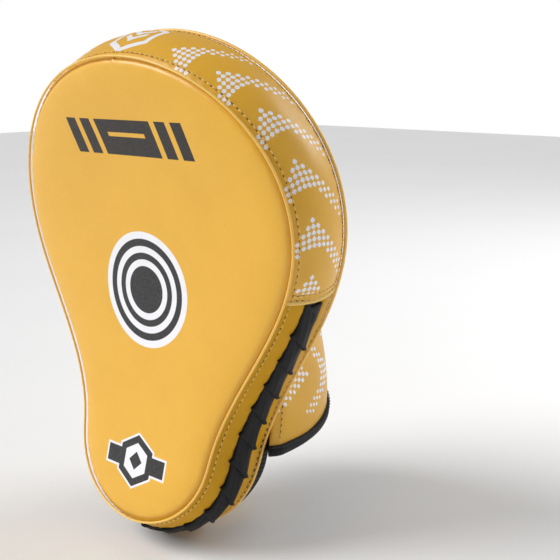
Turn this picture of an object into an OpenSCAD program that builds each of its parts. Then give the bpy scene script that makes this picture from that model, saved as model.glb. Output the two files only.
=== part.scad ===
// Boxing focus mitt for the right hand: a pear shaped strike pad with an
// open back hand compartment, a flared wrist cuff and a wrist bolster.
// X = thumb side, Y = hand side (the striking face looks to -Y), Z = along
// the fingers. The origin is the palm point on the back panel.
// All sizes are in millimetres.

/* [Pad] */
// length of the striking face, seam to seam
face_length = 245; // [220:1:280]
// half width of the face at its widest row
face_half_width = 99.5; // [80:0.5:115]
// height of the widest row above mid length
widest_z = 40; // [20:1:60]
// half width of the face at the heel
heel_half_width = 49; // [35:0.5:60]
// where the rounded heel starts, below mid length
heel_start = 80; // [60:1:95]
// radius the face is bent to, lengthwise
bend_radius = 360; // [250:5:900]
// thickness of the pad from face to back panel
pad_thickness = 40; // [30:1:55]
// how far the face swells out in the middle
face_crown = 3.6; // [0:0.1:8]
// how far the gusset bulges out at mid thickness
gusset_bulge = 4.5; // [0:0.5:8]
// thickness of the leather
leather = 1.6; // [1:0.1:2.5]
// z of the seam where the printed gusset meets the plain side strips
gusset_end_z = 8.5; // [-10:0.5:20]

/* [Lace] */
// width of the whip laced band
lace_width = 15; // [8:0.5:18]
// depth of the middle of the lace behind the face
lace_depth = 20.5; // [16:0.5:26]

/* [Hand compartment] */
// height of the hand panel above the back at the finger end
hand_height_top = 25; // [20:0.5:35]
// height of the hand panel above the back at the cuff end
hand_height_cuff = 60; // [40:0.5:66]
// half width of the hand panel
hand_half_width = 52; // [42:0.5:58]
// z of the finger end of the hand panel
hand_top_z = 55; // [45:1:65]
// z of the seam between hand panel and cuff
hand_cuff_z = -11; // [-20:1:-5]
// height of the finger sleeves above the back
sleeve_height = 25; // [20:0.5:32]
// radius of the vent holes in the finger sleeves
vent_radius = 2; // [1:0.1:3]

/* [Cuff] */
// half width of the cuff at its lower edge
cuff_half_width = 58; // [50:0.5:64]
// height of the cuff above the back at its lower edge
cuff_height = 74; // [55:0.5:80]
// z of the cuff's lower edge, over the middle of the wrist
cuff_end_z = -68; // [-80:1:-60]
// how much lower the cuff hangs at its sides
cuff_side_drop = 18; // [0:1:25]
// how much lower the seam to the hand panel is at its sides
seam_side_drop = 9; // [0:1:15]
// thickness of the padded cuff
cuff_thickness = 7; // [5:0.5:10]
// width of the binding on the cuff's lower edge
binding_width = 6; // [4:0.5:8]

/* [Bolster] */
// z where the wrist bolster begins
bolster_top_z = -64; // [-75:1:-55]
// greatest height of the bolster above the back
bolster_height = 19; // [12:0.5:26]

/* [Hidden] */
gap = 0.3;
half_len = face_length / 2;
crown_len = half_len - widest_z;
heel_len = half_len - heel_start;
back_radius = bend_radius + pad_thickness;
top_angles = [4, 12, 22, 32, 43, 54, 66, 78, 90];
heel_angles = [0, 12, 24, 37, 50, 62, 73, 84];
mid_steps = 10;

// half width of the pear outline at length v
function swell(v) =
  v > widest_z
    ? face_half_width * sqrt(max(0, 1 - pow((v - widest_z) / crown_len, 2)))
    : heel_half_width + (face_half_width - heel_half_width)
      * (1 + cos(180 * min(1, (widest_z - v) / (widest_z + heel_start + 10)))) / 2;
function heel(v) = v < -heel_start ? sqrt(max(0, 1 - pow((-heel_start - v) / heel_len, 2))) : 1;
function half(v) = swell(v) * heel(v);
// outward normal of the outline on the thumb side
function slope(v) = (half(v + 0.05) - half(v - 0.05)) / 0.1;
function normal(v) = let (s = slope(v)) [1, -s] / sqrt(1 + s * s);

// a point at width u, length v and depth d behind the face, bent lengthwise
function bend(u, v, d) =
  let (a = v / bend_radius * 180 / PI)
  [u, (bend_radius + d) * cos(a) - back_radius, (bend_radius + d) * sin(a)];
// a point at width u and row z, a height h above the back panel
function on_back(u, z, h) = [u, sqrt(back_radius * back_radius - z * z) - back_radius + h, z];
// a point on the rim of the pad: side s, length v, offset o, depth d
function rim(s, v, o, d) = let (n = normal(v)) bend(s * (half(v) + o * n[0]), v + o * n[1], d);

top_rows = [for (a = top_angles) widest_z + crown_len * cos(a)];
mid_rows = [for (i = [1 : mid_steps - 1]) widest_z - (widest_z + heel_start) * i / mid_steps];
heel_rows = [for (a = heel_angles) -heel_start - heel_len * sin(a)];
rows = concat(top_rows, mid_rows, heel_rows);
last_row = len(rows) - 1;
// the outline as [side, length], clockwise seen from the face
loop = concat([for (v = rows) [1, v]], [for (i = [last_row : -1 : 0]) [-1, rows[i]]]);
// the rows above and below a seam, as one run round the crown or the heel
function above(z) = [for (v = rows) if (v > z + 3) v];
function below(z) = [for (v = rows) if (v < z - 3) v];
function crown_run(z) =
  let (r = above(z), n = len(r) - 1)
  concat([[-1, z]], [for (i = [n : -1 : 0]) [-1, r[i]]], [for (v = r) [1, v]], [[1, z]]);
function heel_run(z) =
  let (r = below(z), n = len(r) - 1)
  concat([[1, z]], [for (v = r) [1, v]], [for (i = [n : -1 : 0]) [-1, r[i]]], [[-1, z]]);

// the triangles of one grid of n by m points, starting at point k
function grid_faces(n, m, k, flip) =
  [for (i = [0 : n - 2], j = [0 : m - 2], h = [0, 1])
    let (a = k + i * m + j, b = a + m, c = b + 1, d = a + 1)
    flip ? (h == 0 ? [a, c, b] : [a, d, c]) : (h == 0 ? [a, b, c] : [a, c, d])];
// the rim between two grids along a list of point numbers
function wall_faces(e, k) =
  [for (i = [0 : len(e) - 2], h = [0, 1])
    let (a = e[i], b = e[i + 1])
    h == 0 ? [a, b + k, a + k] : [a, b, b + k]];
// a solid between an outer and an inner grid of points
module sheet(outer, inner) {
  n = len(outer);
  m = len(outer[0]);
  k = n * m;
  edge = concat(
    [for (j = [0 : m - 1]) j],
    [for (i = [1 : n - 1]) i * m + m - 1],
    [for (j = [m - 2 : -1 : 0]) (n - 1) * m + j],
    [for (i = [n - 2 : -1 : 0]) i * m]
  );
  polyhedron(
    points = concat([for (r = outer) each r], [for (r = inner) each r]),
    faces = concat(grid_faces(n, m, 0, false), grid_faces(n, m, k, true), wall_faces(edge, k)),
    convexity = 10
  );
}
// the ladder of triangles that closes a full loop
function ladder(k, flip) =
  let (n = last_row, t = 2 * n + 1)
  [for (i = [0 : n - 1], h = [0, 1])
    let (a = k + i, b = k + i + 1, c = k + t - i - 1, d = k + t - i)
    flip ? (h == 0 ? [a, c, b] : [a, d, c]) : (h == 0 ? [a, b, c] : [a, c, d])];
// a solid from stacked loops, each given as [depth, offset]
module stack(levels) {
  m = len(loop);
  n = len(levels);
  polyhedron(
    points = [for (q = levels, p = loop) rim(p[0], p[1], q[1], q[0])],
    faces = concat(
      ladder(0, false),
      ladder((n - 1) * m, true),
      [for (i = [0 : n - 2], j = [0 : m - 1], h = [0, 1])
        let (a = i * m + j, b = i * m + (j + 1) % m, c = b + m, d = a + m)
        h == 0 ? [a, c, b] : [a, d, c]]
    ),
    convexity = 10
  );
}
// a round cord laid along the whole rim
module welt(d, o, r) {
  m = len(loop);
  k = 8;
  polyhedron(
    points = [for (p = loop, a = [0 : k - 1])
      rim(p[0], p[1], o + r * cos(a * 360 / k), d + r * sin(a * 360 / k))],
    faces = [for (i = [0 : m - 1], j = [0 : k - 1], h = [0, 1])
      let (a = i * k + j, b = i * k + (j + 1) % k, c = ((i + 1) % m) * k + (j + 1) % k,
        d = ((i + 1) % m) * k + j)
      h == 0 ? [a, b, c] : [a, c, d]],
    convexity = 10
  );
}
// a strip of leather on the rim between two depths
function bulge(d) = gusset_bulge * sin(180 * d / pad_thickness);
module rim_strip(run, d0, d1, steps, lift) {
  sheet(
    [for (p = run) [for (i = [0 : steps])
      let (d = d0 + (d1 - d0) * i / steps) rim(p[0], p[1], bulge(d) + lift, d)]],
    [for (p = run) [for (i = [0 : steps])
      let (d = d0 + (d1 - d0) * i / steps) rim(p[0], p[1], bulge(d) + lift - leather, d)]]
  );
}

// arches: a point on a rounded arch of half width w and height h at angle a
function arch(w, h, a, p) =
  [w * (cos(a) < 0 ? -1 : 1) * pow(abs(cos(a)), p), h * pow(abs(sin(a)), p)];
// rows_z are heights over the middle; drops says how much lower each row is at the sides
module tunnel(rows_z, x0, x1, w0, w1, h0, h1, t, a0, a1, steps, p, lift, drops = [0, 0]) {
  n = len(rows_z) - 1;
  function station(i, s) =
    let (f = i / n, w = w0 + (w1 - w0) * f - s, h = h0 + (h1 - h0) * f - s,
      x = x0 + (x1 - x0) * f, drop = drops[0] + (drops[1] - drops[0]) * f)
    [for (j = [0 : steps])
      let (a = a0 + (a1 - a0) * j / steps, q = arch(w, h, a, p))
      on_back(x + q[0], rows_z[i] - drop * pow(cos(a), 2), lift + q[1])];
  sheet([for (i = [0 : n]) station(i, 0)], [for (i = [0 : n]) station(i, t)]);
}
arch_power = 0.68;
function spread(a, b, n) = [for (i = [0 : n]) a + (b - a) * i / n];

// ---- the pad ----
module front_panel() {
  color([0.86, 0.62, 0.16])
    stack([
      [leather - face_crown, -34],
      [leather - face_crown * 0.93, -20],
      [leather - face_crown * 0.6, -8],
      [leather + 0.6, -1.2],
      [0.6, 0],
      [-face_crown * 0.6, -7],
      [-face_crown * 0.93, -20],
      [-face_crown, -34]
    ]);
}
module front_welt() {
  color([0.9, 0.68, 0.22])
    welt(1.4, 1.7, 1.3);
}
module printed_gusset() {
  color([0.86, 0.62, 0.16])
    rim_strip(crown_run(gusset_end_z), 3, pad_thickness - 1.9, 7, 0);
}
module front_side_strip() {
  color([0.86, 0.62, 0.16])
    rim_strip(heel_run(gusset_end_z - gap), 3, lace_depth - lace_width / 2 - gap, 4, 0);
}
module rear_side_strip() {
  color([0.86, 0.62, 0.16])
    rim_strip(heel_run(gusset_end_z - gap), lace_depth + lace_width / 2 + gap, pad_thickness - 1.9, 3, 0);
}
// the black band and the diagonal wraps on it, as one ribbed strip
lace_run = heel_run(gusset_end_z - gap);
function lace_rib(i, j) = (i + j) % 3 == 0 ? 1.8 : 0.4;
module side_lace() {
  d0 = lace_depth - lace_width / 2;
  fine = [for (i = [0 : len(lace_run) - 2], f = [0, 0.5])
    let (a = lace_run[i], b = lace_run[i + 1])
    if (a[0] == b[0] || f == 0) [a[0], a[1] + (b[1] - a[1]) * f]];
  color([0.1, 0.1, 0.1])
    sheet(
      [for (i = [0 : len(fine) - 1]) [for (j = [0 : 3])
        let (d = d0 + lace_width * j / 3) rim(fine[i][0], fine[i][1], bulge(d) + lace_rib(i, j), d)]],
      [for (i = [0 : len(fine) - 1]) [for (j = [0 : 3])
        let (d = d0 + lace_width * j / 3) rim(fine[i][0], fine[i][1], bulge(d) - 1.2, d)]]
    );
}
module back_panel() {
  color([0.86, 0.62, 0.16])
    stack([[pad_thickness, -1.2], [pad_thickness - leather, -1.2]]);
}
module back_welt() {
  color([0.9, 0.68, 0.22])
    welt(pad_thickness - 0.5, 0.6, 1.2);
}
module strike_foam() {
  color([0.93, 0.92, 0.86])
    stack([[13, 0.4], [3, -4], [leather + 1.2, -9], [leather + 0.3 - face_crown * 0.7, -21],
      [leather + 0.3 - face_crown, -36]]);
}
module core_foam() {
  color([0.55, 0.56, 0.58])
    stack([[26, 1], [13.3, 0.4]]);
}
module back_foam() {
  color([0.75, 0.75, 0.72])
    stack([[pad_thickness - leather - 0.4, -3.4], [31, -1], [26.3, 1]]);
}

// ---- the hand compartment ----
module palm_lining() {
  z = spread(hand_top_z - 1, cuff_end_z + 7, 6);
  color([0.08, 0.08, 0.1])
    sheet(
      [for (v = z) [for (u = [-40, 0, 40]) on_back(u, v, 1.4)]],
      [for (v = z) [for (u = [-40, 0, 40]) on_back(u, v, 0.2)]]
    );
}
hand_rows = spread(hand_top_z, hand_cuff_z, 6);
module hand_panel() {
  color([0.86, 0.62, 0.16])
    difference() {
      tunnel(hand_rows, -3, 0, hand_half_width - 2, hand_half_width, hand_height_top,
        hand_height_cuff, leather, 0, 180, 18, arch_power, 0.2, [0, seam_side_drop]);
      translate([0, 22, -2])
        vent_slot();
    }
}
// the tall vent slot in the middle of the hand panel
module vent_slot() {
  translate([-2.5, 0, 2.5])
    cube([5, 40, 36]);
  for (z = [2.5, 38.5])
    translate([0, 40, z])
      rotate([90, 0, 0])
        cylinder(r = 2.5, h = 40, $fn = 24);
}
module hand_patch() {
  color([0.86, 0.62, 0.16])
    tunnel(spread(37, -9, 4), -3, 0, hand_half_width + leather + gap - 2, hand_half_width + leather + gap,
      hand_height_top + 9.8 + leather + gap, hand_height_cuff - 0.3 + leather + gap, leather, 44, 60, 4,
      arch_power, 0.2, [0, seam_side_drop]);
}
module vent_mesh() {
  color([0.07, 0.07, 0.08])
    tunnel(spread(42, -4, 4), -3, 0, hand_half_width - leather - gap - 2.4, hand_half_width - leather - gap - 0.2,
      hand_height_top + 6.4 - leather - gap, hand_height_cuff - 5.4 - leather - gap, 0.8, 80, 96, 4,
      arch_power, 0.2);
}
// a finger sleeve: an open arch sewn down on both sides
module sleeve(x0, x1, z0, z1, w0, w1, vents) {
  difference() {
    tunnel(spread(z1, z0, 5), x1, x0, w1, w0, sleeve_height + 1, sleeve_height, leather, 0, 180, 12, 0.85,
      0.2);
    for (v = vents)
      translate([x0 + (x1 - x0) * (v - z0) / (z1 - z0), -20, v])
        rotate([-90, 0, 0])
          cylinder(r = vent_radius, h = 60, $fn = 24);
  }
}
module index_sleeve() {
  color([0.86, 0.62, 0.16])
    sleeve(31, 36, hand_top_z + 1, 104, 13, 14, [66, 80, 95]);
}
module middle_sleeve() {
  color([0.86, 0.62, 0.16])
    sleeve(1, 1, hand_top_z + 1, 117, 16, 17, [70, 88, 106]);
}
module ring_little_sleeve() {
  color([0.86, 0.62, 0.16])
    sleeve(-34, -40, hand_top_z + 1, 100, 18, 20, []);
}
module thumb_sleeve() {
  color([0.86, 0.62, 0.16])
    tunnel(spread(64, 2, 6), 65, 60.8, 12, 7.5, 24, 23, leather, 0, 180, 10, 0.85, 0.2);
}
// the short leather tab between the thumb sleeve and the hand panel
module thumb_tab() {
  color([0.86, 0.62, 0.16])
    sheet(
      [for (z = [-8, -12, -16]) [for (u = [53.5, 55, 57]) on_back(u, z, 1.9)]],
      [for (z = [-8, -12, -16]) [for (u = [53.5, 55, 57]) on_back(u, z, 0.2)]]
    );
}

// ---- the cuff, which hinges at its seam to the hand panel ----
cuff_from = hand_cuff_z - 0.6;
cuff_rows = spread(cuff_from, cuff_end_z + binding_width / 2, 6);
cuff_drops = [seam_side_drop, cuff_side_drop];
module cuff_layer(rows_z, inset, t, a0, a1) {
  tunnel(rows_z, 0, 0, hand_half_width + 0.5 - inset, cuff_half_width - inset,
    hand_height_cuff + 0.5 - inset, cuff_height - inset, t, a0, a1, 22, arch_power, 0.2, cuff_drops);
}
module cuff_cover() {
  color([0.86, 0.62, 0.16])
    cuff_layer(cuff_rows, 0, 1.4, 2, 178);
}
module cuff_foam() {
  color([0.8, 0.8, 0.78])
    cuff_layer(cuff_rows, 1.6, cuff_thickness - 3, 2.5, 177.5);
}
module cuff_lining() {
  color([0.08, 0.08, 0.1])
    cuff_layer(cuff_rows, cuff_thickness - 1.2, 1.2, 3, 177);
}
module cuff_binding() {
  z0 = cuff_end_z + binding_width / 2 - gap;
  color([0.07, 0.07, 0.07])
    tunnel([z0, z0 - binding_width / 2, z0 - binding_width + gap], 0, 0, cuff_half_width - 0.3,
      cuff_half_width - 0.5, cuff_height - 0.3, cuff_height + 0.2, cuff_thickness - 0.6, 2, 178, 22,
      arch_power, 0.2, [cuff_side_drop, cuff_side_drop]);
}
// black elastic from the foot of the cuff down to the edge of the pad
elastic_rows = [cuff_end_z + 4, cuff_end_z - 5, cuff_end_z - 14];
function elastic_x(z, f) = (half(z / 1.11) - 2) * (1 - f) + (cuff_half_width - 1.5) * f;
module elastic(lift) {
  color([0.06, 0.06, 0.07])
    sheet(
      [for (z = elastic_rows) [for (f = [0, 0.5, 1]) on_back(elastic_x(z, f), z, lift + 4 * f)]],
      [for (z = elastic_rows) [for (f = [0, 0.5, 1]) on_back(elastic_x(z, f) - 1.2, z, lift + 4 * f)]]
    );
}
module elastic_thumb_side() {
  elastic(1.6);
}
module elastic_little_side() {
  mirror([1, 0, 0])
    elastic(1.6);
}

// ---- the wrist bolster ----
bolster_rows = spread(bolster_top_z, -half_len + 4, 9);
function bolster_half(v) = half(v) - 3.4;
function bolster_rise(v) =
  let (f = (bolster_top_z - v) / (bolster_top_z + half_len - 4))
  5 + (bolster_height - 5) * pow(sin(180 * min(1, 0.06 + f * 0.94)), 0.6);
function bolster_z(s, v) = bolster_rise(v) * pow(max(0, 1 - pow(abs(s), 6)), 0.5) + 3;
function panel_edge(v) = min(0.86, (21 + 0.012 * pow(v + 101, 2)) / bolster_half(v));
function bolster_point(s, v, k) =
  bend(s * bolster_half(v), v, pad_thickness + bolster_z(s, v) * k[0] + k[1]);
module bolster_sheet(from, to, n, top, low) {
  sheet(
    [for (v = bolster_rows) [for (i = [0 : n])
      bolster_point(from(v) + (to(v) - from(v)) * i / n, v, top)]],
    [for (v = bolster_rows) [for (i = [0 : n])
      bolster_point(from(v) + (to(v) - from(v)) * i / n, v, low)]]
  );
}
edge_in = function (v) panel_edge(v) + 0.012;
edge_out = function (v) 1;
module bolster_cover() {
  color([0.86, 0.62, 0.16])
    bolster_sheet(function (v) -panel_edge(v), function (v) panel_edge(v), 10, [1, 0], [1, -leather]);
}
module bolster_foam() {
  color([0.8, 0.8, 0.78])
    bolster_sheet(function (v) -0.92, function (v) 0.92, 12, [0.95, -leather - 0.4], [0, 0.2]);
}
module bolster_mesh_thumb_side() {
  color([0.09, 0.09, 0.1])
    bolster_sheet(edge_in, edge_out, 7, [1, 0], [1, -leather]);
}
module bolster_mesh_little_side() {
  color([0.09, 0.09, 0.1])
    bolster_sheet(function (v) -1, function (v) -edge_in(v), 7, [1, 0], [1, -leather]);
}

// the care label, sewn in at the thumb side edge seam
label_a = [84, 1.4, -4];
label_b = [69.8, 0.3, -31];
label_out = [-14.2, 0.2, 7.5];
module care_label() {
  a = label_a;
  b = label_b;
  c = b + label_out;
  d = a + label_out;
  up = [0, 0.4, 0];
  color([0.93, 0.93, 0.92])
    sheet([[b + up, a + up], [c + up, d + up]], [[b, a], [c, d]]);
}

front_panel();
front_welt();
printed_gusset();
front_side_strip();
rear_side_strip();
side_lace();
back_panel();
back_welt();
strike_foam();
core_foam();
back_foam();
palm_lining();
hand_panel();
hand_patch();
vent_mesh();
index_sleeve();
middle_sleeve();
ring_little_sleeve();
thumb_sleeve();
thumb_tab();
cuff_cover();
cuff_foam();
cuff_lining();
cuff_binding();
elastic_thumb_side();
elastic_little_side();
bolster_cover();
bolster_foam();
bolster_mesh_thumb_side();
bolster_mesh_little_side();
care_label();
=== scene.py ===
import math

import bmesh
import bpy
import numpy as np
from mathutils import Matrix, Vector


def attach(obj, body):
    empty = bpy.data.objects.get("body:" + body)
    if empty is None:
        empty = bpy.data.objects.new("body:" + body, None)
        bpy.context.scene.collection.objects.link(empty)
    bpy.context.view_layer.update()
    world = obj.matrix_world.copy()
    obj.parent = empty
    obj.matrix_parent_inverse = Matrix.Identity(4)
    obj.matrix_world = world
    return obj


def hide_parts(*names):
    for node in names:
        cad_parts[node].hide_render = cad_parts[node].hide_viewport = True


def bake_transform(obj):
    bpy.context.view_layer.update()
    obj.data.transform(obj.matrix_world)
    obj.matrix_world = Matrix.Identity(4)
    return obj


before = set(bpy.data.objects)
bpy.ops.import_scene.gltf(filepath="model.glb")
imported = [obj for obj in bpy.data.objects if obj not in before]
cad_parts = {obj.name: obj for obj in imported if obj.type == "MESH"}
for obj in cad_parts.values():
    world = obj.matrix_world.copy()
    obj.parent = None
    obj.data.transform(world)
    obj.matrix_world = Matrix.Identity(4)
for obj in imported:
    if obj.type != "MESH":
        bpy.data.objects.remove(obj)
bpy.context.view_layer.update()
rng = np.random.default_rng(7)

# ---- the shape, as part.scad states it, in millimetres ----
R, T, HL = 360.0, 40.0, 122.5
W, WZ, HEEL, HS = 99.5, 40.0, 49.0, 80.0
CROWN, BULGE = 3.6, 4.5
GUSSET_END = 8.5
LACE_D, LACE_W = 20.5, 15.0
ARCH_P = 0.68


def half(v):
    v = np.asarray(v, float)
    top = W * np.sqrt(np.maximum(0, 1 - ((v - WZ) / (HL - WZ)) ** 2))
    low = HEEL + (W - HEEL) * (1 + np.cos(np.pi * np.minimum(1, (WZ - v) / (WZ + HS + 10)))) / 2
    swell = np.where(v > WZ, top, low)
    return swell * np.where(v < -HS, np.sqrt(np.maximum(0, 1 - ((-HS - v) / (HL - HS)) ** 2)), 1)


def normal(v):
    s = (half(v + 0.02) - half(v - 0.02)) / 0.04
    n = np.sqrt(1 + s * s)
    return 1 / n, -s / n


def bend(u, v, d):
    a = v / R
    u, a, d = np.broadcast_arrays(u, a, d)
    return np.stack([u, (R + d) * np.cos(a) - R - T, (R + d) * np.sin(a)], -1)


def rim(s, v, o, d):
    nx, nz = normal(v)
    return bend(s * (half(v) + o * nx), v + o * nz, d)


def on_back(u, z, h):
    u, z, h = np.broadcast_arrays(np.asarray(u, float), np.asarray(z, float), np.asarray(h, float))
    return np.stack([u, np.sqrt((R + T) ** 2 - z * z) - (R + T) + h, z], -1)


def bulge(d):
    return BULGE * np.sin(np.pi * np.asarray(d, float) / T)


def smooth(x, a, b):
    t = np.clip((x - a) / (b - a), 0, 1)
    return t * t * (3 - 2 * t)


def waves(p, size, seed):
    """Smooth noise of points p in mm, about -1 to 1."""
    g = np.random.default_rng(seed)
    out = 0
    for k in range(7):
        direction = g.normal(size=3)
        direction /= np.linalg.norm(direction)
        out = out + np.sin((p @ direction) * (2 * np.pi / size) * g.uniform(0.6, 1.7) + g.uniform(0, 6.28))
    return out / 3.2


# the outline of the pad as an even run of (side, v), s = 0 at the crown
rim_v = np.concatenate([
    WZ + (HL - WZ) * np.cos(np.radians(np.linspace(0.8, 90, 400))),
    np.linspace(WZ, -HS, 400)[1:],
    -HS - (HL - HS) * np.sin(np.radians(np.linspace(0, 89.2, 260)))[1:],
])
rim_p = rim(1.0, rim_v, 3.0, 20.0)
rim_steps = np.linalg.norm(np.diff(rim_p, axis=0), axis=1)
rim_s = np.concatenate([[rim_p[0, 0]], rim_p[0, 0] + np.cumsum(rim_steps)])
S_TOTAL = rim_s[-1] + rim_p[-1, 0]
S_END = float(np.interp(-GUSSET_END, -rim_v, rim_s))


def at(s):
    """side and v at arc length s from the crown; past the heel it comes up the other side."""
    s = np.asarray(s, float)
    s = (s + S_TOTAL) % (2 * S_TOTAL) - S_TOTAL
    return np.where(s < 0, -1.0, 1.0), np.interp(np.abs(s), rim_s, rim_v)


def rim_at(s, o, d):
    s, o, d = np.broadcast_arrays(np.asarray(s, float), np.asarray(o, float), np.asarray(d, float))
    side, v = at(s)
    return rim(side, v, o, d)


# ---- mesh builders ----
def make(name, verts, faces, fab=None, mat=None):
    """A mesh from points in mm; fab is each point's place on the cloth, which the materials read."""
    me = bpy.data.meshes.new(name)
    me.from_pydata((np.asarray(verts) * 0.001).tolist(), [], [list(map(int, f)) for f in faces])
    if fab is not None:
        att = me.attributes.new("fab", "FLOAT_VECTOR", "POINT")
        att.data.foreach_set("vector", np.asarray(fab, np.float32).ravel())
    ob = bpy.data.objects.new(name, me)
    bpy.context.scene.collection.objects.link(ob)
    bm = bmesh.new()
    bm.from_mesh(me)
    bmesh.ops.remove_doubles(bm, verts=bm.verts, dist=1e-7)
    bmesh.ops.recalc_face_normals(bm, faces=bm.faces)
    bm.to_mesh(me)
    bm.free()
    me.polygons.foreach_set("use_smooth", [True] * len(me.polygons))
    if mat:
        me.materials.append(mat)
    return ob


def grid_quads(n, m, k=0, wrap=False):
    i, j = np.meshgrid(np.arange(n - 1), np.arange(m if wrap else m - 1), indexing="ij")
    i, j = i.ravel(), j.ravel()
    jj = (j + 1) % m
    return np.stack([k + i * m + j, k + (i + 1) * m + j, k + (i + 1) * m + jj, k + i * m + jj], -1)


def slab_parts(outer, inner):
    """Quads of a closed slab between two grids of points."""
    n, m = outer.shape[:2]
    nm = n * m
    quads = [grid_quads(n, m), grid_quads(n, m, nm)[:, ::-1]]
    edge = np.concatenate([np.arange(m), np.arange(1, n) * m + m - 1,
                           (n - 1) * m + np.arange(m - 2, -1, -1), np.arange(n - 2, -1, -1) * m])
    a, b = edge[:-1], edge[1:]
    quads.append(np.stack([a, b, b + nm, a + nm], -1))
    return np.concatenate([outer.reshape(-1, 3), inner.reshape(-1, 3)]), np.concatenate(quads)


def slab(name, outer, inner, fab, mat):
    v, q = slab_parts(outer, inner)
    f = np.concatenate([fab.reshape(-1, 3), fab.reshape(-1, 3)])
    return make(name, v, q, f, mat)


def tube_parts(path, ups, r1, r2, k=8, closed=False, power=1.0):
    """A swept tube along path, r1 along ups and r2 across."""
    path = np.asarray(path, float)
    n = len(path)
    if closed:
        tan = np.roll(path, -1, 0) - np.roll(path, 1, 0)
    else:
        tan = np.gradient(path, axis=0)
    tan /= np.linalg.norm(tan, axis=1)[:, None]
    ups = np.broadcast_to(np.asarray(ups, float), path.shape)
    side = np.cross(tan, ups)
    side /= np.linalg.norm(side, axis=1)[:, None] + 1e-12
    up = np.cross(side, tan)
    a = np.arange(k) * 2 * np.pi / k
    ca, sa = np.cos(a), np.sin(a)
    ca, sa = np.sign(ca) * np.abs(ca) ** power, np.sign(sa) * np.abs(sa) ** power
    r1, r2 = np.broadcast_to(r1, n), np.broadcast_to(r2, n)
    pts = path[:, None] + up[:, None] * (ca[None, :, None] * r1[:, None, None]) \
        + side[:, None] * (sa[None, :, None] * r2[:, None, None])
    v = pts.reshape(-1, 3)
    faces = [list(f) for f in grid_quads(n, k, wrap=True)]
    last = (n - 1) * k
    if closed:
        faces += [[last + j, j, (j + 1) % k, last + (j + 1) % k] for j in range(k)]
    else:
        faces += [list(range(k))[::-1], list(range(last, last + k))]
    return v, faces


def ring_tube(name, path, ups, r1, r2, mat):
    v, f = tube_parts(path, ups, r1, r2, closed=True)
    return make(name, v, f, v, mat)


def join_parts(name, parts, mat):
    """One mesh from several (verts, faces) lists."""
    vs, fs, k = [], [], 0
    for v, f in parts:
        vs.append(v)
        fs += [[int(i) + k for i in face] for face in f]
        k += len(v)
    vs = np.concatenate(vs)
    return make(name, vs, fs, vs, mat)


# dark marks at the needle holes of the stitches made so far, painted shade of the holes, waiting for sewn()
HOLE_SHADE_MARKS = []
HOLE_DEPTHS, HOLE_WIDTHS = np.array([0.05, 0.2, 0.05]), np.array([0.1, 0.42, 0.1])
STITCH_LIFTS = np.array([-0.35, 0.12, 0.26, 0.12, -0.35])
STITCH_SIZES = np.array([0.45, 0.95, 1.0, 0.95, 0.45])
FINE = {"pitch": 3.0, "length": 2.1}  # smaller stitches than the default


def stitch_parts(path, away, pitch=3.4, length=2.3, r=0.34):
    """A row of stitches on path; away gives the outward direction at each point. Dark needle-hole marks,
    painted shade in the holes, are kept for sewn().
    """
    path = np.asarray(path, float)
    away = np.broadcast_to(np.asarray(away, float), path.shape)
    both = np.concatenate([path, away], 1)
    s = np.concatenate([[0], np.cumsum(np.linalg.norm(np.diff(path, axis=0), axis=1))])
    n = max(1, int(s[-1] / pitch))
    parts = []
    f = np.linspace(-0.5, 0.5, 5)
    for i in range(n):
        mid = (i + 0.5) * s[-1] / n
        t = np.clip(mid + f * length, 0, s[-1])
        row = np.stack([np.interp(t, s, both[:, c]) for c in range(6)], -1)
        p, a = row[:, :3], row[:, 3:]
        a = a / (np.linalg.norm(a, axis=1)[:, None] + 1e-12)
        size = STITCH_SIZES * r
        parts.append(tube_parts(p + a * STITCH_LIFTS[:, None], a, size, size * 1.15, k=6))
        gap = np.clip(mid + pitch * 0.5 + np.linspace(-0.5, 0.5, 3) * (pitch - length + 0.7), 0, s[-1])
        row = np.stack([np.interp(gap, s, both[:, c]) for c in range(6)], -1)
        p, a = row[:, :3], row[:, 3:] / (np.linalg.norm(row[:, 3:], axis=1)[:, None] + 1e-12)
        if np.linalg.norm(p[-1] - p[0]) > 0.3:
            # a flat dark mark in the gap after each stitch: painted shade of the needle hole
            HOLE_SHADE_MARKS.append(tube_parts(p - a * 0.04, a, HOLE_DEPTHS, HOLE_WIDTHS, k=6))
    return parts


def sewn(name, parts, body="mitt", mat=None):
    """Finishes stitches as one piece and their dark needle-hole marks, painted shade in the holes, as
    another.
    """
    pieces = [join_parts(name, parts, mat or M_THREAD)]
    if HOLE_SHADE_MARKS:
        pieces.append(join_parts(name + "_hole_painted_shade", list(HOLE_SHADE_MARKS), mat or M_HOLE_SHADE))
        HOLE_SHADE_MARKS.clear()
    for ob in pieces:
        own(ob, (), body)
    return pieces


# ---- materials ----
class E:
    """A value in a node tree, written like a number."""

    def __init__(self, tree, out):
        self.tree, self.out = tree, out

    def op(self, kind, *others):
        n = self.tree.nodes.new("ShaderNodeMath")
        n.operation = kind
        for i, x in enumerate((self,) + others):
            if isinstance(x, E):
                self.tree.links.new(x.out, n.inputs[i])
            else:
                n.inputs[i].default_value = float(x)
        return E(self.tree, n.outputs[0])

    def __rsub__(self, o):
        return self * -1.0 + o

    def below(self, edge, soft=0.12):
        """1 where the value is below edge, with a soft rim."""
        return ((self * -1.0 + edge) / soft + 0.5).max(0.0).min(1.0)


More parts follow.
